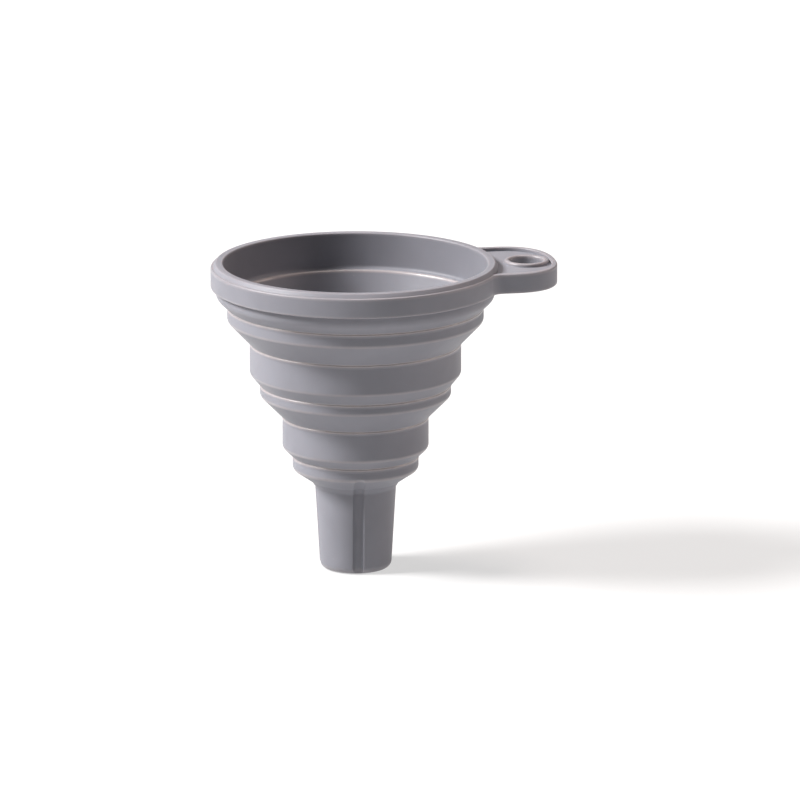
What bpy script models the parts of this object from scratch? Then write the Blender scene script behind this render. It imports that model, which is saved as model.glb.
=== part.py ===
"""Folding silicone funnel with a hanging tab.

The funnel is a stack of stiff rings, each narrower than the one above, joined by thin cone-shaped
webs. Each web is a living hinge: pushed up, it snaps through and its ring nests inside the ring
above. Z is the funnel's axis, the origin is at the centre of the spout's lower end, and the
hanging tab points along +X.
"""

import math
from collections import namedtuple

import bmesh
import bpy

MM = 0.001

# The rim: a bevelled pouring edge on top of a wider band, then a neck that slopes in to the rim
# bead. The setbacks are measured in from the band.
RIM_RADIUS = 38.0 * MM
RIM_BAND_HEIGHT = 5.3 * MM
EDGE_SETBACK = 0.6 * MM
EDGE_HEIGHT = 1.05 * MM
EDGE_BEVEL = 0.9 * MM
EDGE_WALL = 2.7 * MM
NECK_SETBACK = 1.4 * MM
NECK_HEIGHT = 2.4 * MM
NECK_SLOPE_HEIGHT = 2.95 * MM
SHELF_THICKNESS = 1.7 * MM
RIM_BEAD_SETBACK = 4.3 * MM
RIM_BEAD_HEIGHT = 3.4 * MM

# The two stages between the rim and the spout. Each is a stiff band that slopes in to a bead, and
# hangs from the bead above by a web.
Stage = namedtuple("Stage", "web_drop band_height slope_height bead_height")
UPPER = Stage(web_drop=6.3 * MM, band_height=8.0 * MM, slope_height=3.3 * MM, bead_height=2.65 * MM)
LOWER = Stage(web_drop=6.05 * MM, band_height=8.05 * MM, slope_height=2.7 * MM, bead_height=3.25 * MM)
BAND_STEP = 2.65 * MM

# The spout tapers to its lower end and has vent grooves down its outside.
SPOUT_END_RADIUS = 9.4 * MM
SPOUT_TAPER = 1.3 * MM
SPOUT_LENGTH = 23.7 * MM
SPOUT_WALL = 2.5 * MM
SPOUT_END_ROUNDING = 1.7 * MM
SHOULDER_FLARE = 1.0 * MM
SHOULDER_HEIGHT = 1.5 * MM
SPOUT_WEB_DROP = 3.35 * MM
SPOUT_WEB_WIDTH = 4.9 * MM
VENT_COUNT = 4
VENT_RADIUS = 1.6 * MM
VENT_DEPTH = 1.0 * MM
VENT_TOP_GAP = 0.8 * MM
VENT_TURN = math.radians(-5.5)

# The hanging tab: a slab with a raised lip around a recessed floor, and an eyelet in the floor.
HOLE_RADIUS = 4.5 * MM
EYELET_WALL = 1.3 * MM
EYELET_CLEARANCE = 1.85 * MM
EYELET_END_GAP = 0.35 * MM
TAB_HALF_WIDTH = 16.3 * MM
TAB_SIDE_LENGTH = 2.8 * MM
TAB_END_POWER = 2.4
TAB_FILLET = 4.0 * MM
LIP_WIDTH = 1.5 * MM
RECESS_DEPTH = 1.0 * MM

# Walls and clearances
BAND_WALL = 2.0 * MM
BEAD_WALL = 1.7 * MM
BEAD_TAPER = 1.0 * MM
WEB_THICKNESS = 1.0 * MM
BEAD_LEDGE = 0.4 * MM
GAP = 0.3 * MM
CUTTER_EXCESS = 2.0 * MM

# Fillets
SOFT_EDGE = 0.6 * MM
FINE_EDGE = 0.3 * MM
INNER_FILLET = 1.0 * MM

# Facets
TURN_STEPS = 48
CUTTER_STEPS = 20
CORNER_STEPS = 2
FILLET_STEPS = 4
TAB_END_STEPS = 10
RIM_ARC_STEPS = 8

SILICONE = (0.20, 0.20, 0.22, 1.0)
SILICONE_ROUGHNESS = 0.55

# Radii worked out from the rim inwards and from the spout outwards. The two wide webs share what
# is left between them.
EDGE_RADIUS = RIM_RADIUS - EDGE_SETBACK
RIM_BORE_RADIUS = EDGE_RADIUS - EDGE_WALL
NECK_RADIUS = RIM_RADIUS - NECK_SETBACK
RIM_BEAD_RADIUS = RIM_RADIUS - RIM_BEAD_SETBACK
SPOUT_TOP_RADIUS = SPOUT_END_RADIUS + SPOUT_TAPER
SHOULDER_RADIUS = SPOUT_TOP_RADIUS + SHOULDER_FLARE
WEB_WIDTH = (RIM_BEAD_RADIUS - SHOULDER_RADIUS - SPOUT_WEB_WIDTH) / 2 - BAND_STEP
UPPER_BAND_RADIUS = RIM_BEAD_RADIUS - WEB_WIDTH
UPPER_BEAD_RADIUS = UPPER_BAND_RADIUS - BAND_STEP
LOWER_BAND_RADIUS = UPPER_BEAD_RADIUS - WEB_WIDTH
LOWER_BEAD_RADIUS = LOWER_BAND_RADIUS - BAND_STEP

# Places along the tab, measured from the axis
EYELET_RADIUS = HOLE_RADIUS + EYELET_WALL
EYELET_REACH = RIM_RADIUS + EYELET_CLEARANCE + EYELET_RADIUS
TAB_REACH = EYELET_REACH + EYELET_RADIUS + EYELET_END_GAP + LIP_WIDTH
TAB_FILLET_Y = TAB_HALF_WIDTH + TAB_FILLET
TAB_FILLET_X = math.sqrt((RIM_RADIUS + TAB_FILLET) ** 2 - TAB_FILLET_Y**2)
TAB_END_X = TAB_FILLET_X + TAB_SIDE_LENGTH

# Levels on the axis, worked out from the spout's lower end upwards
SPOUT_TOP = SPOUT_LENGTH
LOWER_BEAD_TOP = SPOUT_TOP + SPOUT_WEB_DROP + LOWER.bead_height
LOWER_BAND_TOP = LOWER_BEAD_TOP + LOWER.slope_height + LOWER.band_height
UPPER_BEAD_TOP = LOWER_BAND_TOP + LOWER.web_drop + UPPER.bead_height
UPPER_BAND_TOP = UPPER_BEAD_TOP + UPPER.slope_height + UPPER.band_height
RIM_BEAD_TOP = UPPER_BAND_TOP + UPPER.web_drop + RIM_BEAD_HEIGHT
NECK_TOP = RIM_BEAD_TOP + NECK_SLOPE_HEIGHT + NECK_HEIGHT
RIM_BAND_TOP = NECK_TOP + RIM_BAND_HEIGHT
RIM_TOP = RIM_BAND_TOP + EDGE_HEIGHT


def clear_scene():
    for obj in list(bpy.data.objects):
        bpy.data.objects.remove(obj, do_unlink=True)


def new_collection(name):
    collection = bpy.data.collections.new(name)
    bpy.context.scene.collection.children.link(collection)
    return collection


def silicone(name):
    """A matt grey silicone of its own for one part."""
    material = bpy.data.materials.new(name)
    material.use_nodes = True
    shader = material.node_tree.nodes["Principled BSDF"]
    shader.inputs["Base Color"].default_value = SILICONE
    shader.inputs["Roughness"].default_value = SILICONE_ROUGHNESS
    shader.inputs["Metallic"].default_value = 0.0
    return material


def joint_empty(name, z, parent=None):
    """An empty on the funnel's axis that carries one moving body."""
    empty = bpy.data.objects.new(name, None)
    PARTS.objects.link(empty)
    if parent:
        empty.parent = parent
    empty.location = (0.0, 0.0, z - world_z(parent))
    return empty


def world_z(empty):
    height = 0.0
    while empty:
        height += empty.location.z
        empty = empty.parent
    return height


def cutter(obj):
    """Marks an object as a helper that is never drawn."""
    obj.hide_render = True
    obj.display_type = "WIRE"
    return obj


def cut(obj, tool, operation="DIFFERENCE"):
    modifier = obj.modifiers.new(tool.name, "BOOLEAN")
    modifier.object = tool
    modifier.operation = operation
    modifier.solver = "EXACT"


def rounded(corners):
    """The points of a closed outline given as (r, z, rounding) corners, each rounding limited by its sides."""
    points = []
    for i, (r, z, rounding) in enumerate(corners):
        if not rounding:
            points.append((r, z))
            continue
        before, after = corners[i - 1], corners[(i + 1) % len(corners)]
        ends = []
        for other in (before, after):
            side = math.hypot(other[0] - r, other[1] - z)
            t = min(rounding, 0.45 * side) / side
            ends.append((r + (other[0] - r) * t, z + (other[1] - z) * t))
        for k in range(CORNER_STEPS + 1):
            s = k / CORNER_STEPS
            weights = ((1 - s) ** 2, 2 * s * (1 - s), s**2)
            trio = (ends[0], (r, z), ends[1])
            points.append(tuple(sum(w * p[axis] for w, p in zip(weights, trio)) for axis in (0, 1)))
    return points


def turned(name, points, collection, steps, closed=True):
    """A solid of revolution about Z, from (r, z) points that run down its outer side."""
    edges = [(i, i + 1) for i in range(len(points) - 1)]
    if closed:
        edges.append((len(points) - 1, 0))
    mesh = bpy.data.meshes.new(name)
    mesh.from_pydata([(r, 0.0, z) for r, z in points], edges, [])
    obj = bpy.data.objects.new(name, mesh)
    collection.objects.link(obj)
    screw = obj.modifiers.new("Turn", "SCREW")
    screw.steps = screw.render_steps = steps
    screw.use_merge_vertices = True
    screw.merge_threshold = 0.00001
    screw.use_smooth_shade = True
    return obj


def ring(name, parent, top, corners):
    """A turned part on the axis. Its corners' z are measured down from the level of its top."""
    points = rounded([(r, -z, rounding) for r, z, rounding in corners])
    obj = turned(name, points, PARTS, TURN_STEPS)
    obj.parent = parent
    obj.location = (0.0, 0.0, top - world_z(parent))
    obj.data.materials.append(silicone(name))
    return obj


def rim_band(parent):
    """The pouring edge, the band, and the neck that slopes in to the rim bead."""
    neck_top = RIM_TOP - NECK_TOP
    slope_top = neck_top + NECK_HEIGHT
    bottom = RIM_TOP - RIM_BEAD_TOP - GAP
    shelf = bottom - SHELF_THICKNESS
    bead_bore = RIM_BEAD_RADIUS - BEAD_WALL
    ring(
        "rim_band",
        parent,
        RIM_TOP,
        [
            (RIM_BORE_RADIUS, 0.0, SOFT_EDGE),
            (EDGE_RADIUS - EDGE_BEVEL, 0.0, FINE_EDGE),
            (EDGE_RADIUS, EDGE_BEVEL, 0.0),
            (EDGE_RADIUS, EDGE_HEIGHT, 0.0),
            (RIM_RADIUS, EDGE_HEIGHT, SOFT_EDGE),
            (RIM_RADIUS, neck_top, FINE_EDGE),
            (NECK_RADIUS, neck_top, 0.0),
            (NECK_RADIUS, slope_top, SOFT_EDGE),
            (RIM_BEAD_RADIUS - BEAD_LEDGE, bottom, 0.0),
            (bead_bore, bottom, 0.0),
            (bead_bore, shelf, FINE_EDGE),
            (RIM_BORE_RADIUS - SOFT_EDGE, shelf, INNER_FILLET),
        ],
    )


def bead(name, parent, top, radius, height):
    """The narrow ring below a band, with a ledge around its top edge and a bore that narrows downwards."""
    ring(
        name,
        parent,
        top,
        [
            (radius - BEAD_WALL, 0.0, 0.0),
            (radius, 0.0, FINE_EDGE),
            (radius, height, SOFT_EDGE),
            (radius - BEAD_WALL - BEAD_TAPER, height, 0.0),
        ],
    )


def band(name, parent, top, radius, stage):
    """A stiff ring: upright at the top, then sloping in to its bead."""
    bottom = stage.band_height + stage.slope_height - GAP
    inner_rise = BAND_WALL * math.tan(math.pi / 8)
    bead_radius = radius - BAND_STEP
    band_bore = radius - BAND_WALL
    bead_bore = bead_radius - BEAD_WALL
    ring(
        name,
        parent,
        top,
        [
            (band_bore, 0.0, 0.0),
            (radius, 0.0, FINE_EDGE),
            (radius, stage.band_height, SOFT_EDGE),
            (bead_radius - BEAD_LEDGE, bottom, 0.0),
            (bead_bore, bottom, 0.0),
            (bead_bore, bottom - inner_rise, 0.0),
            (band_bore, stage.band_height - inner_rise, 0.0),
        ],
    )


def web(name, parent, top, drop, top_radius, bottom_radius):
    """A living hinge: the thin cone between a bead and the narrower ring below it."""
    slope = math.atan2(drop, top_radius - bottom_radius)
    across = WEB_THICKNESS / math.sin(slope)
    height = drop - 2 * GAP
    ring(
        name,
        parent,
        top - GAP,
        [
            (top_radius - across, 0.0, 0.0),
            (top_radius, 0.0, 0.0),
            (bottom_radius, height, 0.0),
            (bottom_radius - across, height, 0.0),
        ],
    )


def vent_cutter(name, angle):
    """A round-nosed bar that lies along the spout's side and cuts one vent groove."""
    nose = [
        (VENT_RADIUS * math.sin(t), VENT_RADIUS * (math.cos(t) - 1))
        for t in (0.5 * math.pi * k / FILLET_STEPS for k in range(FILLET_STEPS + 1))
    ]
    length = SPOUT_LENGTH + CUTTER_EXCESS
    tool = turned(name, nose + [(VENT_RADIUS, -length), (0.0, -length)], CUTTERS, CUTTER_STEPS, closed=False)
    taper_height = SPOUT_LENGTH - SHOULDER_HEIGHT
    tilt = math.atan2(SPOUT_TOP_RADIUS - SPOUT_END_RADIUS, taper_height)
    reach = SPOUT_TOP_RADIUS + VENT_RADIUS - VENT_DEPTH
    tool.location = (reach * math.cos(angle), reach * math.sin(angle), SPOUT_TOP - VENT_TOP_GAP)
    tool.rotation_euler = (0.0, tilt, angle)
    return cutter(tool)


def spout(parent):
    """The tapered tube that goes into the bottle's neck."""
    obj = ring(
        "spout",
        parent,
        SPOUT_TOP,
        [
            (SPOUT_TOP_RADIUS - SPOUT_WALL, 0.0, 0.0),
            (SHOULDER_RADIUS, 0.0, 0.0),
            (SPOUT_TOP_RADIUS, SHOULDER_HEIGHT, INNER_FILLET),
            (SPOUT_END_RADIUS, SPOUT_LENGTH, SPOUT_END_ROUNDING),
            (SPOUT_END_RADIUS - SPOUT_WALL, SPOUT_LENGTH, FINE_EDGE),
        ],
    )
    for k in range(VENT_COUNT):
        cut(obj, vent_cutter(f"vent_cutter_{k + 1}", 2 * math.pi * k / VENT_COUNT - math.pi / 2 + VENT_TURN))


def tab_fillet():
    """The hollow corner between the rim and the tab's side, from just clear of the rim."""
    first = math.atan2(-TAB_FILLET_Y, -TAB_FILLET_X)
    last = -0.5 * math.pi
    points = []
    for k in range(FILLET_STEPS + 1):
        turn = first + (last - first) * k / FILLET_STEPS
        x = TAB_FILLET_X + TAB_FILLET * math.cos(turn)
        y = TAB_FILLET_Y + TAB_FILLET * math.sin(turn)
        if math.hypot(x, y) > RIM_RADIUS + 2 * GAP:
            points.append((x, y))
    return points


def tab_end(inset):
    """One half of the tab's round end, from its side to its tip, moved in by an inset: a superellipse."""
    length = TAB_REACH - TAB_END_X - inset
    half_width = TAB_HALF_WIDTH - inset
    points = []
    for k in range(TAB_END_STEPS + 1):
        turn = 0.5 * math.pi * (1 - k / TAB_END_STEPS)
        x = TAB_END_X + length * math.cos(turn) ** (2 / TAB_END_POWER)
        y = half_width * math.sin(turn) ** (2 / TAB_END_POWER)
        points.append((x, y))
    return points


def both_sides(side):
    """An outline over the tip and back, from one side's points that end at the tip."""
    return side + [(x, -y) for x, y in reversed(side[:-1])]


def slab(name, outline, bottom, top, collection):
    """A flat plate between two levels, from the (x, y) points of its outline."""
    curve = bpy.data.curves.new(name, "CURVE")
    curve.dimensions = "2D"
    curve.fill_mode = "BOTH"
    curve.extrude = (top - bottom) / 2
    spline = curve.splines.new("POLY")
    spline.points.add(len(outline) - 1)
    for point, (x, y) in zip(spline.points, outline):
        point.co = (x, y, 0.0, 1.0)
    spline.use_cyclic_u = True
    source = bpy.data.objects.new(name + "_curve", curve)
    collection.objects.link(source)
    source.location = (0.0, 0.0, (top + bottom) / 2)
    bpy.context.view_layer.update()
    mesh = welded_mesh(source)
    obj = bpy.data.objects.new(name, mesh)
    collection.objects.link(obj)
    obj.matrix_world = source.matrix_world.copy()
    bpy.data.objects.remove(source, do_unlink=True)
    return obj


def welded_mesh(source):
    """The mesh of a curve object, with its caps joined to its sides."""
    graph = bpy.context.evaluated_depsgraph_get()
    mesh = bpy.data.meshes.new_from_object(source.evaluated_get(graph))
    work = bmesh.new()
    work.from_mesh(mesh)
    bmesh.ops.remove_doubles(work, verts=work.verts, dist=0.000001)
    bmesh.ops.recalc_face_normals(work, faces=work.faces)
    work.to_mesh(mesh)
    work.free()
    return mesh


def post(name, radius, bottom, top):
    """A round upright cutter at the eyelet."""
    bpy.ops.mesh.primitive_cylinder_add(
        vertices=TURN_STEPS,
        radius=radius,
        depth=top - bottom,
        location=(EYELET_REACH, 0.0, (top + bottom) / 2),
    )
    obj = bpy.context.active_object
    obj.name = name
    for collection in list(obj.users_collection):
        collection.objects.unlink(obj)
    CUTTERS.objects.link(obj)
    return cutter(obj)


def rim_arc(side):
    """The tab's inner edge: an arc around the rim that joins one side's first point to its mirror image."""
    radius = RIM_RADIUS + GAP
    reach = math.atan2(side[0][1], side[0][0])
    turns = [reach * (2 * k / RIM_ARC_STEPS - 1) for k in range(RIM_ARC_STEPS + 1)]
    return [(radius * math.cos(turn), radius * math.sin(turn)) for turn in turns]


def recess_cutter():
    """The space over the recessed floor, with the eyelet's post left standing in it."""
    floor = RIM_BAND_TOP - RECESS_DEPTH
    above = RIM_BAND_TOP + CUTTER_EXCESS
    side = tab_end(LIP_WIDTH)
    half_width = side[0][1]
    start_x = 0.5 * RIM_RADIUS
    outline = both_sides(side) + [(start_x, -half_width), (start_x, half_width)]
    recess = cutter(slab("recess_cutter", outline, floor, above, CUTTERS))
    cut(recess, post("eyelet_post", EYELET_RADIUS, floor - CUTTER_EXCESS, above + CUTTER_EXCESS))
    return recess


def hang_tab(parent):
    """The tab, its recessed floor, and the eyelet that hangs on a hook."""
    side = tab_fillet() + tab_end(0.0)
    tab = slab("hang_tab", both_sides(side) + rim_arc(side), NECK_TOP, RIM_BAND_TOP, PARTS)
    cut(tab, recess_cutter())
    cut(tab, post("hole_cutter", HOLE_RADIUS, NECK_TOP - CUTTER_EXCESS, RIM_BAND_TOP + CUTTER_EXCESS))
    tab.data.materials.append(silicone("hang_tab"))
    tab.parent = parent
    tab.location.z -= world_z(parent)


def stage_rings(name, parent, band_top, bead_top, radius, stage):
    band(f"{name}_band", parent, band_top, radius, stage)
    bead(f"{name}_bead", parent, bead_top, radius - BAND_STEP, stage.bead_height)


def build():
    rim = joint_empty("rim", RIM_TOP)
    upper = joint_empty("upper_stage", UPPER_BAND_TOP, rim)
    lower = joint_empty("lower_stage", LOWER_BAND_TOP, upper)
    tip = joint_empty("spout_stage", SPOUT_TOP, lower)

    rim_band(rim)
    bead("rim_bead", rim, RIM_BEAD_TOP, RIM_BEAD_RADIUS, RIM_BEAD_HEIGHT)
    hang_tab(rim)
    rim_bottom = RIM_BEAD_TOP - RIM_BEAD_HEIGHT
    web("upper_web", rim, rim_bottom, UPPER.web_drop, RIM_BEAD_RADIUS, UPPER_BAND_RADIUS)

    stage_rings("upper", upper, UPPER_BAND_TOP, UPPER_BEAD_TOP, UPPER_BAND_RADIUS, UPPER)
    upper_bottom = UPPER_BEAD_TOP - UPPER.bead_height
    web("middle_web", upper, upper_bottom, LOWER.web_drop, UPPER_BEAD_RADIUS, LOWER_BAND_RADIUS)

    stage_rings("lower", lower, LOWER_BAND_TOP, LOWER_BEAD_TOP, LOWER_BAND_RADIUS, LOWER)
    lower_bottom = LOWER_BEAD_TOP - LOWER.bead_height
    web("lower_web", lower, lower_bottom, SPOUT_WEB_DROP, LOWER_BEAD_RADIUS, SHOULDER_RADIUS)

    spout(tip)


clear_scene()
PARTS = new_collection("folding_funnel")
CUTTERS = new_collection("cutters")
CUTTERS.hide_render = True
build()
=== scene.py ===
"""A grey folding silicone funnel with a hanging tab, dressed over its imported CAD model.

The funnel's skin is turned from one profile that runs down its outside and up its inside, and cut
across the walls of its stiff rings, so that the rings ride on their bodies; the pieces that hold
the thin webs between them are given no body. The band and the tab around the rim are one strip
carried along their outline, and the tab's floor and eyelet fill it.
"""

import math

import bpy
import numpy as np
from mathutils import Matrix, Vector


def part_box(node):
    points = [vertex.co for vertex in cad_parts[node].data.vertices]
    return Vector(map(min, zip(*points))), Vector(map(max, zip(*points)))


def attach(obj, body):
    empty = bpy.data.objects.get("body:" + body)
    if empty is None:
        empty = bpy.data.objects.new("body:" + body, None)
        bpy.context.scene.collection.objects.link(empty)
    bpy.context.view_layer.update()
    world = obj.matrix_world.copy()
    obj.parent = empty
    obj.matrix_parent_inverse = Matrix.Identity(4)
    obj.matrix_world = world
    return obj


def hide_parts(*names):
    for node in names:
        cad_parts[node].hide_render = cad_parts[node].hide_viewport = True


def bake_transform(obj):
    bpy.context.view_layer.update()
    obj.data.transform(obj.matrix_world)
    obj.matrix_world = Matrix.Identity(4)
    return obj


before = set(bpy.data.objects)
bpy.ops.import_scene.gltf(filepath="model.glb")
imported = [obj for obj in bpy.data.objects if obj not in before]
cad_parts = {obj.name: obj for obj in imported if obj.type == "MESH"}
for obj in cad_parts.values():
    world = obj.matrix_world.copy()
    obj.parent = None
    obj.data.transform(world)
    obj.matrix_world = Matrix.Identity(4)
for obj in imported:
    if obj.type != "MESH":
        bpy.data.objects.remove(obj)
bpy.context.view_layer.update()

MM = 0.001


# ---------------------------------------------------------------- the funnel's sizes


def ring_size(node):
    """A turned node's radius, top level and bottom level, from its box."""
    low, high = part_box(node)
    return high.y, high.z, low.z


RIM_RADIUS, RIM_TOP, _ = ring_size("rim_band")
RIM_BEAD_RADIUS, RIM_BEAD_TOP, RIM_BEAD_BOTTOM = ring_size("rim_bead")
UPPER_BAND_RADIUS, UPPER_BAND_TOP, _ = ring_size("upper_band")
UPPER_BEAD_RADIUS, UPPER_BEAD_TOP, UPPER_BEAD_BOTTOM = ring_size("upper_bead")
LOWER_BAND_RADIUS, LOWER_BAND_TOP, _ = ring_size("lower_band")
LOWER_BEAD_RADIUS, LOWER_BEAD_TOP, LOWER_BEAD_BOTTOM = ring_size("lower_bead")
SHOULDER_RADIUS, SPOUT_TOP, SPOUT_END = ring_size("spout")
TAB_LOW, TAB_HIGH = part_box("hang_tab")
BAND_TOP, NECK_TOP = TAB_HIGH.z, TAB_LOW.z
TAB_REACH = TAB_HIGH.x

# The rim's steps, measured in from its band. The covers are how far the band strip hides them.
EDGE_SETBACK = 0.6 * MM
EDGE_BEVEL = 0.75 * MM
EDGE_BEVEL_FOOT = 0.05 * MM
EDGE_WALL = 2.7 * MM
EDGE_ROUNDING = 0.4 * MM
BAND_COVER = 0.5 * MM
NECK_COVER = 0.1 * MM
NECK_SETBACK = 1.3 * MM
NECK_HEIGHT = 2.4 * MM
NECK_ROUNDING = 3.0 * MM
CRISP_ROUNDING = 0.1 * MM

# The rim's bore and the shelf inside it
BORE_EDGE_ROUNDING = 0.45 * MM
BORE_DRAFT = 0.2 * MM
SHELF_DEPTH = 9.85 * MM
SHELF_WIDTH = 1.7 * MM
SHELF_LEAN = 0.38
SHELF_RISE = 0.3 * MM
SHELF_ROOT_ROUNDING = 2.5 * MM
SHELF_EDGE_ROUNDING = 0.6 * MM

# The stiff rings, each a band with a narrower bead below it, and the webs between them
UPPER_SLOPE_HEIGHT = 3.3 * MM
LOWER_SLOPE_HEIGHT = 2.7 * MM
UPPER_BAND_BOTTOM = UPPER_BEAD_TOP + UPPER_SLOPE_HEIGHT
LOWER_BAND_BOTTOM = LOWER_BEAD_TOP + LOWER_SLOPE_HEIGHT
RING_FOOT_ROUNDING = 1.5 * MM
RING_BORE_ROUNDING = 0.8 * MM
BAND_WALL = 2.0 * MM
BEAD_WALL = 1.7 * MM
BEAD_TAPER = 1.0 * MM
WEB_THICKNESS = 1.0 * MM
UPPER_WEB_ROUNDING = 1.5 * MM
MIDDLE_WEB_ROUNDING = 1.2 * MM
LOWER_WEB_ROUNDING = 1.0 * MM

# The small lip along the top of each stiff ring
LIP_RISE = 0.12 * MM
LIP_FLARE = 0.14 * MM
LIP_CREST_DROP = 0.05 * MM
LIP_DROP = 0.9 * MM
LIP_HOLLOW_ROUNDING = 0.15 * MM
LIP_CREST_ROUNDING = 0.35 * MM
LIP_RUN_ROUNDING = 1.2 * MM

# The spout
SPOUT_TOP_RADIUS = 10.7 * MM
SPOUT_END_RADIUS = 9.4 * MM
SPOUT_BORE_TOP = 8.2 * MM
SPOUT_BORE_END = 6.9 * MM
SPOUT_FOOT = 0.45 * MM
SPOUT_END_ROUNDING = 2.0 * MM
SPOUT_TOP_ROUNDING = 1.5 * MM
SPOUT_BORE_TOP_ROUNDING = 1.5 * MM
SPOUT_BORE_END_ROUNDING = 0.5 * MM
SHOULDER_HEIGHT = 1.5 * MM
SHOULDER_ROUNDING = 0.8 * MM
SPOUT_SEAM = 20.0 * MM

# The vent grooves down the spout
VENT_COUNT = 4
VENT_RADIUS = 1.5 * MM
VENT_DEPTH = 1.1 * MM
VENT_TURN = math.radians(-5.5)
VENT_EASE = 0.26 * MM
VENT_TOP = LOWER_BEAD_BOTTOM + 0.6 * MM
VENT_FADE_HEIGHT = 1.6 * MM
VENT_FADE_LIFT = 0.4 * MM
VENT_LIMIT = LOWER_BEAD_BOTTOM + 1.0 * MM

# The tab
TAB_HALF_WIDTH = 16.3 * MM
TAB_SIDE_LENGTH = 2.8 * MM
TAB_END_POWER = 2.4
TAB_FILLET = 4.0 * MM
TAB_LIP_WIDTH = 1.5 * MM
TAB_LIP_ROUNDING = 0.3 * MM
TAB_EDGE_ROUNDING = 0.5 * MM
RECESS_DEPTH = 1.0 * MM
UNDERSIDE_RECESS = 0.3 * MM
FLOOR_BURIED = 0.2 * MM
HOLE_RADIUS = 4.5 * MM
HOLE_ROUNDING = 0.6 * MM
HOLE_FOOT_ROUNDING = 0.5 * MM
EYELET_RADIUS = 5.8 * MM
EYELET_ROUNDING = 0.55 * MM
EYELET_FOOT_ROUNDING = 0.6 * MM
EYELET_LEAN = 0.1 * MM
EYELET_FLARE = 0.3 * MM
EYELET_END_GAP = 0.35 * MM
EYELET_REACH = TAB_REACH - TAB_LIP_WIDTH - EYELET_END_GAP - EYELET_RADIUS

# How finely the surfaces are divided
COLUMNS = 384
CROWDING = 0.55
OUTLINE_POINTS = 600
STRIP_STEP = 0.5 * MM
TAB_COLUMNS = 240
TAB_FLOOR_ROWS = 12
TAB_SIDE_ROWS = 8
ROW_STEP = 0.5 * MM
ARC_STEPS = 7
SAME_PLACE = 1e-7

# How wide the edges with rubbing and painted highlight are, and how strong on each part
WEAR_AND_HIGHLIGHT_REACH = 0.5 * MM
WEAR_AND_HIGHLIGHT_START_TURN = math.radians(18.0)
WEAR_AND_HIGHLIGHT_FULL_TURN = math.radians(44.0)
POURING_EDGE_WEAR_AND_HIGHLIGHT = 0.15
POURING_EDGE_WEAR_AND_HIGHLIGHT_END = BAND_TOP - 1.0 * MM
STRIP_WEAR_AND_HIGHLIGHT = 0.3
EYELET_WEAR_AND_HIGHLIGHT = 0.5


# ---------------------------------------------------------------- surfaces


def rounded_path(corners):
    """An open path through (r, z, rounding) corners, each corner replaced by a circular arc.

    The arc of radius q touches both sides at q * tan(turn / 2) from the corner, which may take
    just under half of a side, or all of the first and the last side. Its points are the arc's
    centre plus q times a direction that swings from one touching point to the other. Straight
    runs are then divided so that no step is longer than ROW_STEP.
    """
    corners = np.array(corners, float)
    points, rounding = corners[:, :2], corners[:, 2]
    sides = np.diff(points, axis=0)
    lengths = np.hypot(*sides.T)
    units = sides / lengths[:, None]
    into, out = units[:-1], units[1:]
    turn = np.arctan2(into[:, 0] * out[:, 1] - into[:, 1] * out[:, 0], (into * out).sum(axis=1))
    half = np.tan(np.abs(turn) / 2)
    share = 0.49 * lengths
    share[[0, -1]] *= 2
    room = np.minimum(share[:-1], share[1:])
    q = np.minimum(rounding[1:-1], room / np.maximum(half, 1e-9))
    start = points[1:-1] - into * (q * half)[:, None]
    side = np.sign(turn)[:, None] * np.column_stack([-into[:, 1], into[:, 0]])
    centre = start + side * q[:, None]
    swing = turn[:, None] * np.linspace(0.0, 1.0, ARC_STEPS + 1)
    arm = -side * q[:, None]
    cos, sin = np.cos(swing), np.sin(swing)
    x = centre[:, :1] + arm[:, :1] * cos - arm[:, 1:] * sin
    y = centre[:, 1:] + arm[:, :1] * sin + arm[:, 1:] * cos
    arcs = np.stack([x, y], axis=-1).reshape(-1, 2)
    path = np.vstack([points[:1], arcs, points[-1:]])
    keep = np.append(True, np.hypot(*np.diff(path, axis=0).T) > SAME_PLACE)
    return divided(path[keep])


def divided(path):
    """A path with evenly spaced points added along its long sides, by their distance along it."""
    gaps = np.hypot(*np.diff(path, axis=0).T)
    along = np.append(0.0, np.cumsum(gaps))
    parts = np.ceil(gaps / ROW_STEP).astype(int)
    first = np.repeat(along[:-1], parts)
    share = np.arange(parts.sum()) - np.repeat(np.cumsum(parts) - parts, parts)
    marks = np.append(first + share * np.repeat(gaps / parts, parts), along[-1])
    return np.column_stack([np.interp(marks, along, path[:, axis]) for axis in (0, 1)])


def stretch(path, high=None, low=None):
    """The part of a path that runs down from one level to another, with an end exactly on each.

    Where a level isn't given, the stretch runs on to the path's own end.
    """
    r, z = path.T
    kept = np.ones(len(path), bool)
    start, end = [], []
    if high is not None:
        kept &= z < high - SAME_PLACE
        start = [[[np.interp(-high, -z, r), high]]]
    if low is not None:
        kept &= z > low + SAME_PLACE
        end = [[[np.interp(-low, -z, r), low]]]
    return np.vstack([*start, path[kept], *end])


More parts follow.
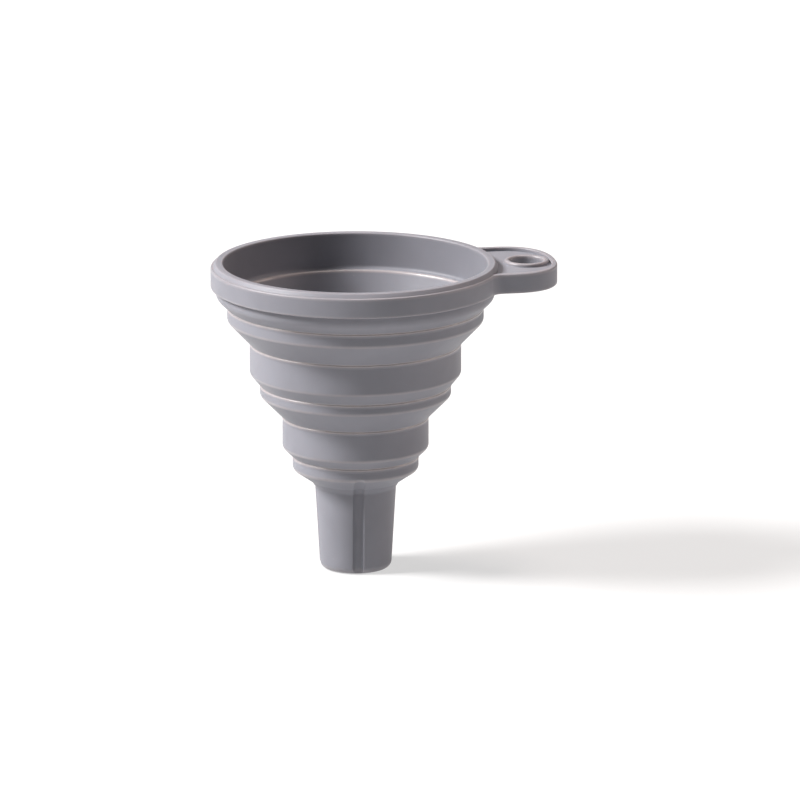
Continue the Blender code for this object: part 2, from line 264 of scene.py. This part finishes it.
def grid_mesh(name, points, sharp_rows, edge):
    """A closed tube of quads from points[row, column, xyz], joined to itself both ways round.

    Rows in sharp_rows keep a hard edge, and edge gives each row's share of the edge finish, which
    is partly rubbing and partly a painted highlight.
    """
    rows, columns = points.shape[:2]
    index = np.arange(rows * columns).reshape(rows, columns)
    right = np.roll(index, -1, axis=1)
    below, below_right = np.roll(index, -1, axis=0), np.roll(right, -1, axis=0)
    faces = np.stack([index, below, below_right, right], axis=-1).reshape(-1, 4)
    mesh = bpy.data.meshes.new(name)
    mesh.from_pydata(points.reshape(-1, 3), [], faces)
    mesh.update()
    ends = np.empty(len(mesh.edges) * 2, int)
    mesh.edges.foreach_get("vertices", ends)
    ends = ends.reshape(-1, 2) // columns
    sharp = (ends[:, 0] == ends[:, 1]) & np.isin(ends[:, 0], sharp_rows)
    mesh.attributes.new("sharp_edge", "BOOLEAN", "EDGE").data.foreach_set("value", sharp)
    worn_and_highlit = np.repeat(np.asarray(edge, np.float32), columns)
    mesh.attributes.new("worn_and_highlit", "FLOAT", "POINT").data.foreach_set("value", worn_and_highlit)
    mesh.polygons.foreach_set("use_smooth", np.ones(len(mesh.polygons), bool))
    obj = bpy.data.objects.new(name, mesh)
    bpy.context.scene.collection.objects.link(obj)
    return obj


def edge_wear_and_highlight(section, cuts=()):
    """How much of a convex corner lies near each point of a closed section, from 0 to 1.

    Each point's turn is positive where the solid is convex, for a section that runs down its
    outside; the corners in cuts don't count. The convex turns are summed, each weighted by
    exp(-(distance / WEAR_AND_HIGHLIGHT_REACH)^2), and the mask goes from 0 to 1 between two values
    of that sum. It marks rubbing and a painted highlight along convex edges, spread over the
    creases beside them.
    """
    before = section - np.roll(section, 1, axis=0)
    after = np.roll(section, -1, axis=0) - section
    cross = before[:, 0] * after[:, 1] - before[:, 1] * after[:, 0]
    turn = np.maximum(-np.arctan2(cross, (before * after).sum(axis=1)), 0.0)
    turn[list(cuts)] = 0.0
    apart = np.hypot(*(section[:, None] - section[None]).T)
    # The reach also spreads the mask over the creases beside each edge, painting them lighter
    # against their shade.
    nearby = np.exp(-((apart / WEAR_AND_HIGHLIGHT_REACH) ** 2)) @ turn
    return np.clip((nearby - WEAR_AND_HIGHLIGHT_START_TURN) / (WEAR_AND_HIGHLIGHT_FULL_TURN - WEAR_AND_HIGHLIGHT_START_TURN), 0.0, 1.0)


# ---------------------------------------------------------------- the turned skin


def column_angles():
    """Angles round the axis, crowded together at each vent groove: u minus a little of sin(n u)."""
    u = 2 * math.pi * np.arange(COLUMNS) / COLUMNS
    return VENT_TURN + u - CROWDING / VENT_COUNT * np.sin(VENT_COUNT * u)


def lip(radius, top):
    """The small lip along a stiff ring's top: a hollow, a crest and the run back to the wall."""
    return [
        (radius, top + LIP_RISE, LIP_HOLLOW_ROUNDING),
        (radius + LIP_FLARE, top - LIP_CREST_DROP, LIP_CREST_ROUNDING),
        (radius, top - LIP_DROP, LIP_RUN_ROUNDING),
    ]


def outer_path():
    """The funnel's outside, from the middle of the pouring edge's top to the foot of the spout."""
    edge = RIM_RADIUS - EDGE_SETBACK
    neck = RIM_RADIUS - NECK_SETBACK
    foot = SPOUT_BORE_END + SPOUT_FOOT
    return rounded_path(
        [
            (edge - 0.5 * EDGE_WALL, RIM_TOP, 0.0),
            (edge - EDGE_BEVEL, RIM_TOP, EDGE_ROUNDING),
            (edge, BAND_TOP + EDGE_BEVEL_FOOT, CRISP_ROUNDING),
            (edge, NECK_TOP + BAND_COVER, CRISP_ROUNDING),
            (neck, NECK_TOP + NECK_COVER, CRISP_ROUNDING),
            (neck, NECK_TOP - NECK_HEIGHT, NECK_ROUNDING),
            *lip(RIM_BEAD_RADIUS, RIM_BEAD_TOP),
            (RIM_BEAD_RADIUS, RIM_BEAD_BOTTOM, RING_FOOT_ROUNDING),
            *lip(UPPER_BAND_RADIUS, UPPER_BAND_TOP),
            (UPPER_BAND_RADIUS, UPPER_BAND_BOTTOM, RING_FOOT_ROUNDING),
            *lip(UPPER_BEAD_RADIUS, UPPER_BEAD_TOP),
            (UPPER_BEAD_RADIUS, UPPER_BEAD_BOTTOM, RING_FOOT_ROUNDING),
            *lip(LOWER_BAND_RADIUS, LOWER_BAND_TOP),
            (LOWER_BAND_RADIUS, LOWER_BAND_BOTTOM, RING_FOOT_ROUNDING),
            *lip(LOWER_BEAD_RADIUS, LOWER_BEAD_TOP),
            (LOWER_BEAD_RADIUS, LOWER_BEAD_BOTTOM, RING_FOOT_ROUNDING),
            (SHOULDER_RADIUS, SPOUT_TOP, SHOULDER_ROUNDING),
            (SPOUT_TOP_RADIUS, SPOUT_TOP - SHOULDER_HEIGHT, SPOUT_TOP_ROUNDING),
            (SPOUT_END_RADIUS, SPOUT_END, SPOUT_END_ROUNDING),
            (foot, SPOUT_END, 0.0),
        ]
    )


def web_inside(top_radius, top, bottom_radius, bottom, bore, bore_level, lean=0.0):
    """Where a web's inner face, WEB_THICKNESS inside its outer one, meets a bore.

    The bore has its radius at bore_level and narrows below it by lean for each step down. Both
    faces are straight in (r, z), so they meet where their radii are equal.
    """
    run, drop = top_radius - bottom_radius, top - bottom
    across = WEB_THICKNESS * math.hypot(run, drop) / drop
    steep = run / drop
    level = (bore - lean * bore_level - top_radius + across + steep * top) / (steep - lean)
    return bore - lean * (bore_level - level), level


def inner_path():
    """The funnel's inside, from the middle of the pouring edge's top to the foot of the spout."""
    edge = RIM_RADIUS - EDGE_SETBACK
    rim_bore = edge - EDGE_WALL
    shelf = RIM_TOP - SHELF_DEPTH
    shelf_edge = rim_bore - SHELF_WIDTH
    rise = BAND_WALL * math.tan(math.pi / 8)
    foot = SPOUT_BORE_END + SPOUT_FOOT
    upper_bore, upper_bead_bore = UPPER_BAND_RADIUS - BAND_WALL, UPPER_BEAD_RADIUS - BEAD_WALL
    lower_bore, lower_bead_bore = LOWER_BAND_RADIUS - BAND_WALL, LOWER_BEAD_RADIUS - BEAD_WALL
    upper_web = (RIM_BEAD_RADIUS, RIM_BEAD_BOTTOM, UPPER_BAND_RADIUS, UPPER_BAND_TOP)
    middle_web = (UPPER_BEAD_RADIUS, UPPER_BEAD_BOTTOM, LOWER_BAND_RADIUS, LOWER_BAND_TOP)
    lower_web = (LOWER_BEAD_RADIUS, LOWER_BEAD_BOTTOM, SHOULDER_RADIUS, SPOUT_TOP)
    upper_lean = BEAD_TAPER / (UPPER_BEAD_TOP - UPPER_BEAD_BOTTOM)
    lower_lean = BEAD_TAPER / (LOWER_BEAD_TOP - LOWER_BEAD_BOTTOM)
    return rounded_path(
        [
            (edge - 0.5 * EDGE_WALL, RIM_TOP, 0.0),
            (rim_bore, RIM_TOP, BORE_EDGE_ROUNDING),
            (rim_bore - BORE_DRAFT, shelf + SHELF_RISE, SHELF_ROOT_ROUNDING),
            (shelf_edge, shelf, SHELF_EDGE_ROUNDING),
            (*web_inside(*upper_web, shelf_edge, shelf, SHELF_LEAN), UPPER_WEB_ROUNDING),
            (*web_inside(*upper_web, upper_bore, UPPER_BAND_TOP), RING_BORE_ROUNDING),
            (upper_bore, UPPER_BAND_BOTTOM - rise, RING_BORE_ROUNDING),
            (upper_bead_bore, UPPER_BEAD_TOP - rise, RING_BORE_ROUNDING),
            (
                *web_inside(*middle_web, upper_bead_bore, UPPER_BEAD_TOP, upper_lean),
                MIDDLE_WEB_ROUNDING,
            ),
            (*web_inside(*middle_web, lower_bore, LOWER_BAND_TOP), RING_BORE_ROUNDING),
            (lower_bore, LOWER_BAND_BOTTOM - rise, RING_BORE_ROUNDING),
            (lower_bead_bore, LOWER_BEAD_TOP - rise, RING_BORE_ROUNDING),
            (
                *web_inside(*lower_web, lower_bead_bore, LOWER_BEAD_TOP, lower_lean),
                LOWER_WEB_ROUNDING,
            ),
            (*web_inside(*lower_web, SPOUT_BORE_TOP, SPOUT_TOP), SPOUT_BORE_TOP_ROUNDING),
            (SPOUT_BORE_END, SPOUT_END, SPOUT_BORE_END_ROUNDING),
            (foot, SPOUT_END, 0.0),
        ]
    )


def vent_grooves(r, z):
    """The skin's radius at each row and column once the vent grooves are pressed into it.

    A groove is a round bar of VENT_RADIUS that lies along the spout, its axis outside the wall so
    that it goes depth in. At a sideways distance s from the groove's middle, the bar's nearest
    point is wall + radius - depth - sqrt(radius^2 - s^2) from the funnel's axis. The skin is the
    lesser of that and its own radius, by a smooth minimum over VENT_EASE: h r + (1 - h) bar
    - ease h (1 - h), with h from 0 to 1 as bar - r goes from -ease to ease.

    The bar follows the shoulder upwards. Over VENT_FADE_HEIGHT below VENT_TOP its depth goes from
    VENT_DEPTH to -VENT_FADE_LIFT along a quarter of an ellipse, so that it leaves the skin there.
    """
    drop = SPOUT_TOP - SHOULDER_HEIGHT - SPOUT_END
    taper = SPOUT_END_RADIUS + (SPOUT_TOP_RADIUS - SPOUT_END_RADIUS) * (z - SPOUT_END) / drop
    wall = np.where(z < SPOUT_TOP - SHOULDER_HEIGHT, taper, r)[:, None]
    fade = np.clip((VENT_TOP - z) / VENT_FADE_HEIGHT, 0.0, 1.0)
    depth = (VENT_DEPTH + VENT_FADE_LIFT) * np.sqrt(fade * (2 - fade))[:, None] - VENT_FADE_LIFT
    turn = 2 * math.pi / VENT_COUNT
    offset = (ANGLES - VENT_TURN + turn / 2) % turn - turn / 2
    s = r[:, None] * np.sin(offset)
    bar = wall + VENT_RADIUS - depth - np.sqrt(np.maximum(VENT_RADIUS**2 - s**2, 0.0))
    bar = bar + np.maximum(np.abs(s) - VENT_RADIUS, 0.0)
    h = np.clip(0.5 + 0.5 * (bar - r[:, None]) / VENT_EASE, 0.0, 1.0)
    return h * r[:, None] + (1 - h) * bar - VENT_EASE * h * (1 - h)


def turned_piece(name, high=None, low=None):
    """The skin between two levels, turned about the axis, with a flat ring at each cut.

    With no high level the piece starts at the pouring edge, and with no low one it ends at the
    spout's foot. The outer and the inner path share a point there, which is used once.
    """
    outside, inside = stretch(OUTER, high, low), stretch(INNER, high, low)
    cuts = []
    if high is None:
        inside = inside[1:]
    if low is None:
        inside = inside[:-1]
    section = np.vstack([outside, inside[::-1]])
    if high is not None:
        cuts += [0, len(section) - 1]
    if low is not None:
        cuts += [len(outside) - 1, len(outside)]
    r, z = section.T
    grooved = (np.arange(len(section)) < len(outside)) & (z < VENT_LIMIT)
    radius = np.where(grooved[:, None], vent_grooves(r, z), r[:, None])
    heights = np.broadcast_to(z[:, None], radius.shape)
    points = np.stack([radius * np.cos(ANGLES), radius * np.sin(ANGLES), heights], axis=-1)
    strength = np.where(z > POURING_EDGE_WEAR_AND_HIGHLIGHT_END, POURING_EDGE_WEAR_AND_HIGHLIGHT, 1.0)
    return grid_mesh(name, points, cuts, edge_wear_and_highlight(section, cuts) * strength)


def hinge(name, high, low):
    """A piece of skin between two levels, with its placement baked into its points.

    Its points are read into an array that nothing uses, and no part of it is moved over to a
    body, so the web does not bend.
    """
    piece = turned_piece(name, high, low)
    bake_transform(piece)
    points = np.empty(len(piece.data.vertices) * 3, np.float32)
    piece.data.vertices.foreach_get("co", points)
    return piece


# ---------------------------------------------------------------- the band, the tab and its eyelet


def half_outline():
    """One half of the outline of the band and the tab, from the tab's tip round to the far side.

    It is a superellipse end (cos t, sin t to the power 2 / TAB_END_POWER), a short straight side,
    a hollow fillet and the rim's circle.
    """
    points = OUTLINE_POINTS
    fillet_y = TAB_HALF_WIDTH + TAB_FILLET
    fillet_x = math.sqrt((RIM_RADIUS + TAB_FILLET) ** 2 - fillet_y**2)
    end_x = fillet_x + TAB_SIDE_LENGTH
    t = np.linspace(0.0, math.pi / 2, points)
    power = 2 / TAB_END_POWER
    end_length = TAB_REACH - end_x
    end = np.column_stack(
        [end_x + end_length * np.cos(t) ** power, TAB_HALF_WIDTH * np.sin(t) ** power]
    )
    meet = math.atan2(fillet_y, fillet_x)
    t = np.linspace(-math.pi / 2, meet - math.pi, points)
    fillet = np.column_stack(
        [fillet_x + TAB_FILLET * np.cos(t), fillet_y + TAB_FILLET * np.sin(t)]
    )
    t = np.linspace(meet, math.pi, 3 * points)[1:]
    circle = RIM_RADIUS * np.column_stack([np.cos(t), np.sin(t)])
    return np.vstack([end, fillet, circle])


def outline():
    """The whole outline at even steps, and the direction out of it at each point."""
    half = half_outline()
    mirrored = half[-2:0:-1] * (1, -1)
    loop = np.vstack([half, mirrored, half[:1]])
    along = np.append(0.0, np.cumsum(np.hypot(*np.diff(loop, axis=0).T)))
    count = int(along[-1] / STRIP_STEP)
    marks = along[-1] * np.arange(count) / count
    even = np.column_stack([np.interp(marks, along, loop[:, axis]) for axis in (0, 1)])
    tangent = np.roll(even, -1, axis=0) - np.roll(even, 1, axis=0)
    tangent /= np.hypot(*tangent.T)[:, None]
    return even, np.column_stack([tangent[:, 1], -tangent[:, 0]])


def band_strip():
    """The band round the rim and the tab: a bar carried along the outline, set in from it."""
    places, outward = outline()
    inner_start = (-TAB_LIP_WIDTH, BAND_TOP - 2 * RECESS_DEPTH, 0.0)
    corners = [
        inner_start,
        (-TAB_LIP_WIDTH, BAND_TOP, TAB_LIP_ROUNDING),
        (0.0, BAND_TOP, TAB_EDGE_ROUNDING),
        (0.0, NECK_TOP, TAB_LIP_ROUNDING),
        (-TAB_LIP_WIDTH, NECK_TOP, TAB_LIP_ROUNDING),
        inner_start,
    ]
    section = rounded_path(corners)[:-1]
    flat = places[None] + outward[None] * section[:, :1, None]
    heights = np.broadcast_to(section[:, 1:, None], flat.shape[:2] + (1,))
    points = np.concatenate([flat, heights], axis=-1)
    return grid_mesh("rim_band_strip", points, [], STRIP_WEAR_AND_HIGHLIGHT * edge_wear_and_highlight(section))


def recess_reach(angles):
    """How far it is from the eyelet's middle to the recess's edge, in each direction.

    The edge is the outline set in a little less than the lip's width, and the pouring edge's circle
    made a little smaller, so that the floor's rim is buried in both. Along a direction, the circle
    is met at -reach cos(angle) - sqrt(radius^2 - (reach sin(angle))^2) from the eyelet's middle.
    """
    places, outward = outline()
    inset = places - outward * (TAB_LIP_WIDTH - FLOOR_BURIED)
    near_tab = inset[inset[:, 0] > 0.5 * RIM_RADIUS]
    bearing = np.arctan2(near_tab[:, 1], near_tab[:, 0] - EYELET_REACH)
    distance = np.hypot(near_tab[:, 0] - EYELET_REACH, near_tab[:, 1])
    order = np.argsort(bearing)
    to_lip = np.interp(angles, bearing[order], distance[order], period=2 * math.pi)
    edge = RIM_RADIUS - EDGE_SETBACK - 1.5 * FLOOR_BURIED
    across = EYELET_REACH * np.sin(angles)
    facing = (np.cos(angles) < 0) & (np.abs(across) < edge)
    root = np.sqrt(np.maximum(edge**2 - across**2, 0.0))
    to_edge = np.where(facing, -EYELET_REACH * np.cos(angles) - root, np.inf)
    return np.minimum(to_lip, to_edge)


def tab_floor():
    """The recessed floor with its eyelet: rings round the hole that widen into the recess's shape.

    Each point lies (1 - t) times the section's radius plus t times the recess's reach from the
    eyelet's middle, where t grows from 0 at the eyelet's foot to 1 at the floor's rim.
    """
    angles = 2 * math.pi * np.arange(TAB_COLUMNS) / TAB_COLUMNS
    reach = recess_reach(angles)
    floor, underside = BAND_TOP - RECESS_DEPTH, NECK_TOP + UNDERSIDE_RECESS
    foot = EYELET_RADIUS + EYELET_FLARE
    eyelet = rounded_path(
        [
            (foot, underside, 0.0),
            (HOLE_RADIUS, underside, HOLE_FOOT_ROUNDING),
            (HOLE_RADIUS, BAND_TOP, HOLE_ROUNDING),
            (EYELET_RADIUS, BAND_TOP, EYELET_ROUNDING),
            (EYELET_RADIUS + EYELET_LEAN, floor, EYELET_FOOT_ROUNDING),
            (foot, floor, 0.0),
        ]
    )
    spread = np.linspace(0.0, 1.0, TAB_FLOOR_ROWS)[1:]
    sides = np.linspace(floor, underside, TAB_SIDE_ROWS)[1:]
    back = spread[-2::-1]
    away = len(spread) + len(sides) + len(back)
    radius = np.concatenate([eyelet[:, 0], np.full(away, foot)])
    height = np.concatenate(
        [eyelet[:, 1], np.full(len(spread), floor), sides, np.full(len(back), underside)]
    )
    t = np.concatenate([np.zeros(len(eyelet)), spread, np.ones(len(sides)), back])
    distance = (1 - t)[:, None] * radius[:, None] + t[:, None] * reach[None]
    x = EYELET_REACH + distance * np.cos(angles)
    y = distance * np.sin(angles)
    points = np.stack([x, y, np.broadcast_to(height[:, None], x.shape)], axis=-1)
    floor_wear_and_highlight = np.zeros(len(height))
    floor_wear_and_highlight[: len(eyelet)] = EYELET_WEAR_AND_HIGHLIGHT * edge_wear_and_highlight(eyelet, (0, len(eyelet) - 1))
    rim = len(eyelet) + len(spread) - 1
    return grid_mesh("tab_floor", points, [rim, rim + len(sides)], floor_wear_and_highlight)


# ---------------------------------------------------------------- materials

BODY_DARK = (0.188, 0.187, 0.212, 1.0)
BODY_PALE = (0.208, 0.207, 0.234, 1.0)
DUST_COLOUR = (0.36, 0.355, 0.36, 1.0)
DUST_COVER = 0.35
# The pale warm edge colour is partly rubbing and partly a painted highlight where edges and the
# creases beside them would catch light.
RUBBED_AND_HIGHLIGHT_COLOUR = (0.46, 0.385, 0.365, 1.0)
RUBBED_AND_HIGHLIGHT_COVER = 0.50
RUBBED_COAT = 0.8
RUBBED_PATCHINESS = 0.3
BODY_ROUGHNESS = 0.52
SMEAR_ROUGHNESS = 0.09
DUST_ROUGHNESS = 0.08
RUBBED_SMOOTHNESS = 0.15
GRAIN_SHARE = 0.55
BUMP_STRENGTH = 0.20
BUMP_HEIGHT = 0.10 * MM
SILICONE_FINISH = {
    "Coat Roughness": 0.34,
    "IOR": 1.42,
    "Subsurface Weight": 0.30,
    "Subsurface Radius": (1.0, 0.72, 0.66),
    "Subsurface Scale": 1.1 * MM,
    "Specular IOR Level": 0.5,
    "Sheen Weight": 0.06,
    "Sheen Roughness": 0.5,
}

WHITE = (1.0, 1.0, 1.0, 1.0)
TABLE_DARK = (0.29, 0.29, 0.29, 1.0)
TABLE_PALE = (0.30, 0.30, 0.30, 1.0)
TABLE_FINISH = {
    "Emission Color": WHITE,
    "Emission Strength": 0.58,
    "Roughness": 0.9,
    "Specular IOR Level": 0.1,
}


class Wire:
    """A socket that can be used in sums, and adds the Math nodes that they need."""

    def __init__(self, nodes, socket):
        self.nodes, self.socket = nodes, socket

    def _math(self, operation, first, second):
        return self.nodes.add("ShaderNodeMath", {"operation": operation}, {0: first, 1: second})

    def __add__(self, other):
        return self._math("ADD", self, other)

    def __radd__(self, other):
        return self._math("ADD", other, self)

    def __sub__(self, other):
        return self._math("SUBTRACT", self, other)

    def __rsub__(self, other):
        return self._math("SUBTRACT", other, self)

    def __mul__(self, other):
        return self._math("MULTIPLY", self, other)

    def __rmul__(self, other):
        return self._math("MULTIPLY", other, self)


class Nodes:
    """A material's node tree, with one method that adds any node."""

    def __init__(self, name):
        self.material = bpy.data.materials.new(name)
        self.material.use_nodes = True
        self.tree = self.material.node_tree
        self.shader = self.tree.nodes["Principled BSDF"]

    def add(self, kind, settings=None, inputs=None, output=0):
        """Adds a node, applies its settings, joins or sets its inputs, and returns an output."""
        node = self.tree.nodes.new(kind)
        for key, value in (settings or {}).items():
            setattr(node, key, value)
        for key, value in (inputs or {}).items():
            self.put(node.inputs[key], value)
        return Wire(self, node.outputs[output])

    def put(self, socket, value):
        """Joins a wire to a socket, or sets the socket's own value."""
        if isinstance(value, Wire):
            self.tree.links.new(value.socket, socket)
        else:
            socket.default_value = value

    def finish(self, values):
        """Joins or sets the shader's inputs by name."""
        for name, value in values.items():
            self.put(self.shader.inputs[name], value)

    def noise(self, scale, detail, roughness):
        """Noise over the piece's own coordinates, in metres."""
        place = self.add("ShaderNodeTexCoord", output="Object")
        inputs = {"Vector": place, "Scale": scale, "Detail": detail, "Roughness": roughness}
        return self.add("ShaderNodeTexNoise", None, inputs)

    def ramp(self, value, low, high):
        """0 below low, 1 above high, and a smooth step between them."""
        settings = {"interpolation_type": "SMOOTHSTEP"}
        inputs = {"Value": value, "From Min": low, "From Max": high}
        return self.add("ShaderNodeMapRange", settings, inputs)

    def mix(self, share, first, second):
        """Goes from one colour to another. The node's colour sockets are found by their place."""
        node = self.tree.nodes.new("ShaderNodeMix")
        node.data_type = "RGBA"
        for place, value in ((0, share), (6, first), (7, second)):
            self.put(node.inputs[place], value)
        return Wire(self, node.outputs[2])


def silicone():
    """Matt grey silicone: faintly cloudy, dusted with pale specks, paler and warmer along its
    edges, partly from rubbing and partly as a painted highlight.
    """
    m = Nodes("grey_silicone")
    cloud = m.ramp(m.noise(scale=55.0, detail=3.0, roughness=0.55), low=0.30, high=0.70)
    body = m.mix(cloud, BODY_DARK, BODY_PALE)
    specks = m.ramp(m.noise(scale=2600.0, detail=1.0, roughness=0.5), low=0.70, high=0.80)
    drifts = m.ramp(m.noise(scale=160.0, detail=2.0, roughness=0.5), low=0.48, high=0.66)
    dust = specks * drifts
    dusty = m.mix(DUST_COVER * dust, body, DUST_COLOUR)
    worn_and_highlit = m.add("ShaderNodeAttribute", {"attribute_name": "worn_and_highlit"}, output="Fac")
    patchy = m.ramp(m.noise(scale=420.0, detail=3.0, roughness=0.6), low=0.25, high=0.75)
    rubbed_and_highlit = worn_and_highlit * ((1.0 - RUBBED_PATCHINESS) + RUBBED_PATCHINESS * patchy)
    # Paler, warmer edges: rubbing plus a painted highlight along edges and their creases.
    colour = m.mix(RUBBED_AND_HIGHLIGHT_COVER * rubbed_and_highlit, dusty, RUBBED_AND_HIGHLIGHT_COLOUR)
    smear = m.ramp(m.noise(scale=90.0, detail=4.0, roughness=0.6), low=0.35, high=0.75)
    rough = BODY_ROUGHNESS + SMEAR_ROUGHNESS * smear + DUST_ROUGHNESS * dust
    rough = rough - RUBBED_SMOOTHNESS * rubbed_and_highlit
    grain = m.noise(scale=5200.0, detail=2.0, roughness=0.6)
    ripple = m.noise(scale=300.0, detail=2.0, roughness=0.4)
    height = GRAIN_SHARE * grain + (1.0 - GRAIN_SHARE) * ripple
    relief = {"Strength": BUMP_STRENGTH, "Distance": BUMP_HEIGHT, "Height": height}
    bump = m.add("ShaderNodeBump", None, relief)
    m.finish({"Base Color": colour, "Roughness": rough, "Normal": bump})
    m.finish({"Coat Weight": RUBBED_COAT * rubbed_and_highlit, **SILICONE_FINISH})
    return m.material


def table_paint():
    """A plain white table that gives off light, with the faintest unevenness."""
    m = Nodes("pale_floor")
    cloud = m.noise(scale=3.0, detail=2.0, roughness=0.5)
    m.finish({"Base Color": m.mix(cloud, TABLE_DARK, TABLE_PALE), **TABLE_FINISH})
    return m.material


# ---------------------------------------------------------------- floor, light and camera

FLOOR_HALF_SIDE = 8.0
FLOOR_POINTS = 33

SURROUND_STRENGTH = 0.13
LIGHT_DISTANCE = 3.0

CAMERA_AZIMUTH = math.radians(-10.0)
CAMERA_ELEVATION = math.radians(13.9)
CAMERA_DISTANCE = 2.4
SENSOR_WIDTH = 36.0
VIEW_WIDTH = 210.5 * MM
AIM_HEIGHT = 45.2 * MM
AIM_RIGHT = 11.7 * MM


def direction(azimuth, elevation):
    """The unit vector from the funnel towards a compass bearing, measured from -Y towards +X."""
    flat = math.cos(elevation)
    return Vector((math.sin(azimuth) * flat, -math.cos(azimuth) * flat, math.sin(elevation)))


def floor():
    """A flat grid of quads under the spout's end."""
    side = np.linspace(-FLOOR_HALF_SIDE, FLOOR_HALF_SIDE, FLOOR_POINTS)
    x, y = np.meshgrid(side, side)
    points = np.stack([x, y, np.full_like(x, SPOUT_END)], axis=-1).reshape(-1, 3)
    index = np.arange(FLOOR_POINTS**2).reshape(FLOOR_POINTS, -1)
    faces = np.stack([index[:-1, :-1], index[:-1, 1:], index[1:, 1:], index[1:, :-1]], axis=-1)
    mesh = bpy.data.meshes.new("floor")
    mesh.from_pydata(points, [], faces.reshape(-1, 4))
    mesh.materials.append(table_paint())
    obj = bpy.data.objects.new("floor", mesh)
    bpy.context.scene.collection.objects.link(obj)


def soft_light(name, azimuth, elevation, size, power, colour):
    """A square panel that faces the funnel. Its bearing is measured from the camera's."""
    light = bpy.data.lights.new(name, "AREA")
    light.shape, light.size, light.energy, light.color = "SQUARE", size, power, colour
    obj = bpy.data.objects.new(name, light)
    middle = Vector((0.0, 0.0, 0.5 * RIM_TOP))
    way = direction(CAMERA_AZIMUTH + math.radians(azimuth), math.radians(elevation))
    obj.location = middle + way * LIGHT_DISTANCE
    obj.rotation_euler = way.to_track_quat("Z", "Y").to_euler()
    bpy.context.scene.collection.objects.link(obj)


def studio():
    """A dim even surround, a large panel on the left, one overhead and a small warm one right."""
    world = bpy.data.worlds.new("surround")
    world.use_nodes = True
    background = world.node_tree.nodes["Background"]
    background.inputs["Color"].default_value = WHITE
    background.inputs["Strength"].default_value = SURROUND_STRENGTH
    bpy.context.scene.world = world
    soft_light(
        "left_panel",
        azimuth=-83.0,
        elevation=40.0,
        size=0.9,
        power=198.0,
        colour=(1.0, 0.99, 0.985),
    )
    soft_light(
        "top_panel",
        azimuth=150.0,
        elevation=78.0,
        size=0.8,
        power=45.0,
        colour=(1.0, 0.90, 0.86),
    )
    soft_light(
        "warm_panel",
        azimuth=100.0,
        elevation=26.0,
        size=0.5,
        power=18.0,
        colour=(1.0, 0.80, 0.72),
    )
    bpy.context.scene.view_settings.view_transform = "Standard"


def camera():
    """A long lens that looks slightly down at the funnel, with the funnel left of the middle."""
    data = bpy.data.cameras.new("camera")
    data.sensor_width = SENSOR_WIDTH
    data.lens = CAMERA_DISTANCE * SENSOR_WIDTH / VIEW_WIDTH
    obj = bpy.data.objects.new("camera", data)
    back = direction(CAMERA_AZIMUTH, CAMERA_ELEVATION)
    right = Vector((math.cos(CAMERA_AZIMUTH), math.sin(CAMERA_AZIMUTH), 0.0))
    aim = Vector((0.0, 0.0, AIM_HEIGHT)) + right * AIM_RIGHT
    obj.location = aim + back * CAMERA_DISTANCE
    obj.rotation_euler = back.to_track_quat("Z", "Y").to_euler()
    bpy.context.scene.collection.objects.link(obj)
    bpy.context.scene.camera = obj


# ---------------------------------------------------------------- putting it together


def dress(piece, material, body, *nodes):
    """Gives a piece its finish and its body, and hides the CAD nodes that it stands for."""
    piece.data.materials.append(material)
    if body:
        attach(piece, body)
    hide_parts(*nodes)


ANGLES = column_angles()
OUTER, INNER = outer_path(), inner_path()

rim_seam = 0.5 * (RIM_BEAD_TOP + RIM_BEAD_BOTTOM)
upper_band_seam = 0.5 * (UPPER_BAND_TOP + UPPER_BAND_BOTTOM)
upper_bead_seam = 0.5 * (UPPER_BEAD_TOP + UPPER_BEAD_BOTTOM)
lower_band_seam = 0.5 * (LOWER_BAND_TOP + LOWER_BAND_BOTTOM)
lower_bead_seam = 0.5 * (LOWER_BEAD_TOP + LOWER_BEAD_BOTTOM)

grey = silicone()
pouring_rim = turned_piece("pouring_rim", low=rim_seam)
dress(pouring_rim, grey, "rim", "rim_bead")
dress(band_strip(), grey, "rim", "rim_band")
dress(tab_floor(), grey, "rim", "hang_tab")
upper_hinge = hinge("upper_hinge", rim_seam, upper_band_seam)
dress(upper_hinge, grey, None, "upper_web")
upper_ring = turned_piece("upper_ring", upper_band_seam, upper_bead_seam)
dress(upper_ring, grey, "upper_stage", "upper_band", "upper_bead")
middle_hinge = hinge(
    "middle_hinge", upper_bead_seam, lower_band_seam
)
dress(middle_hinge, grey, None, "middle_web")
lower_ring = turned_piece("lower_ring", lower_band_seam, lower_bead_seam)
dress(lower_ring, grey, "lower_stage", "lower_band", "lower_bead")
lower_hinge = hinge(
    "lower_hinge", lower_bead_seam, SPOUT_SEAM
)
dress(lower_hinge, grey, None, "lower_web")
spout_tube = turned_piece("spout_tube", SPOUT_SEAM)
dress(spout_tube, grey, "spout_stage", "spout")

floor()
studio()
camera()
